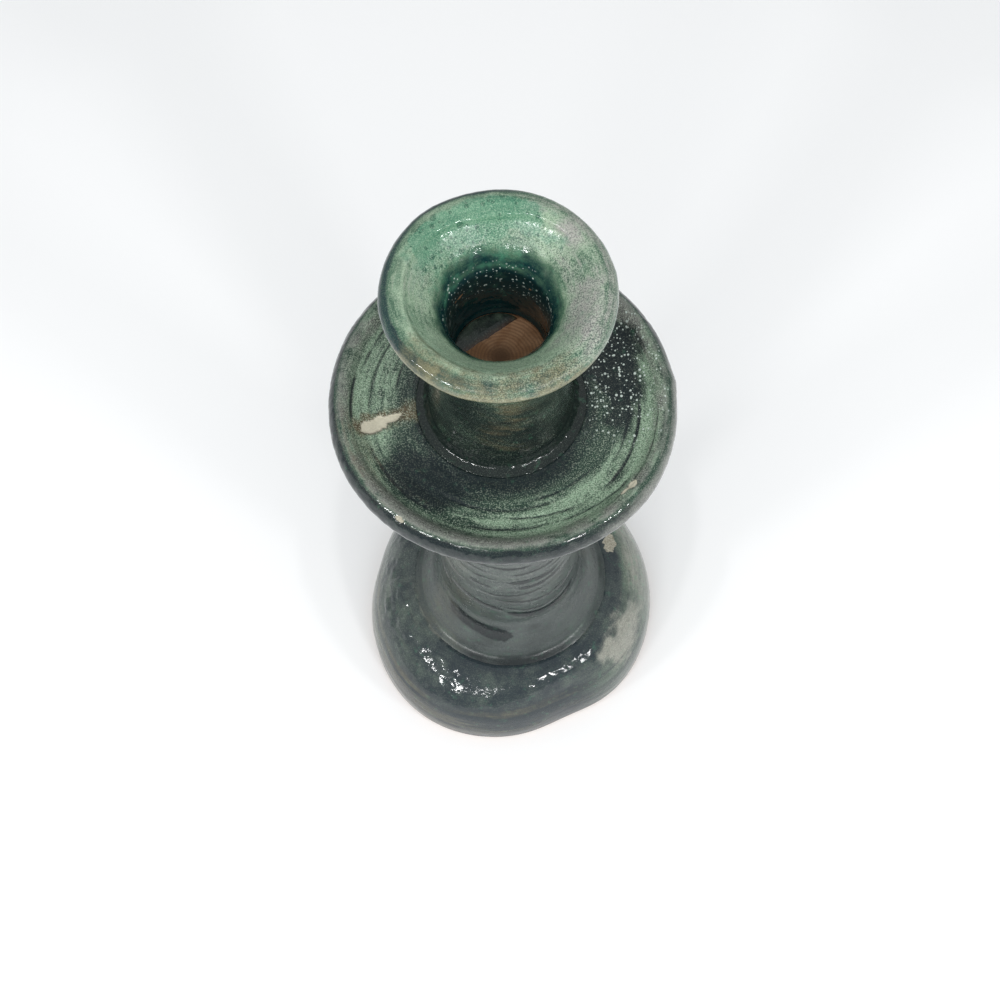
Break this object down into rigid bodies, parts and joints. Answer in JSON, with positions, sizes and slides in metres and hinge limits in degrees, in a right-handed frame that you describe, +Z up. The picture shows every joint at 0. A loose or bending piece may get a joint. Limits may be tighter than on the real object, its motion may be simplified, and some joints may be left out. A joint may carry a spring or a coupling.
{
  "type": "glazed earthenware candlestick",
  "caption": "Thrown earthenware candlestick with a hollow foot, a stem, a drip pan and a flared cup over a bored candle socket, under green glaze.",
  "frame": {"origin": "centre of the foot ring, on the surface that the candlestick stands on", "axes": "+Z up the axis of the stem and the candle bore; the part is round, so X and Y are free"},
  "size_m": [0.11, 0.11, 0.2521],
  "materials": {
    "bare_clay": "dry, unglazed",
    "clay_core": "dry, unglazed",
    "socket_clay": "dry, with throwing rings",
    "slip": "dry",
    "foot_glaze": "glossy",
    "stem_glaze": "glossy",
    "pan_glaze": "glossy",
    "neck_glaze": "glossy",
    "cup_glaze": "glossy",
    "floor_glaze": "glossy"
  },
  "bodies": {
    "root": {"foot": "bare_clay", "stem": "clay_core", "drip_pan": "clay_core", "candle_socket": "socket_clay", "cup_lip": "clay_core", "foot_stem_slip": "slip", "stem_pan_slip": "slip", "pan_socket_slip": "slip", "socket_lip_slip": "slip", "foot_glaze": "foot_glaze", "stem_glaze": "stem_glaze", "pan_glaze": "pan_glaze", "neck_glaze": "neck_glaze", "cup_glaze": "cup_glaze", "floor_glaze": "floor_glaze"}
  },
  "joints": []
}
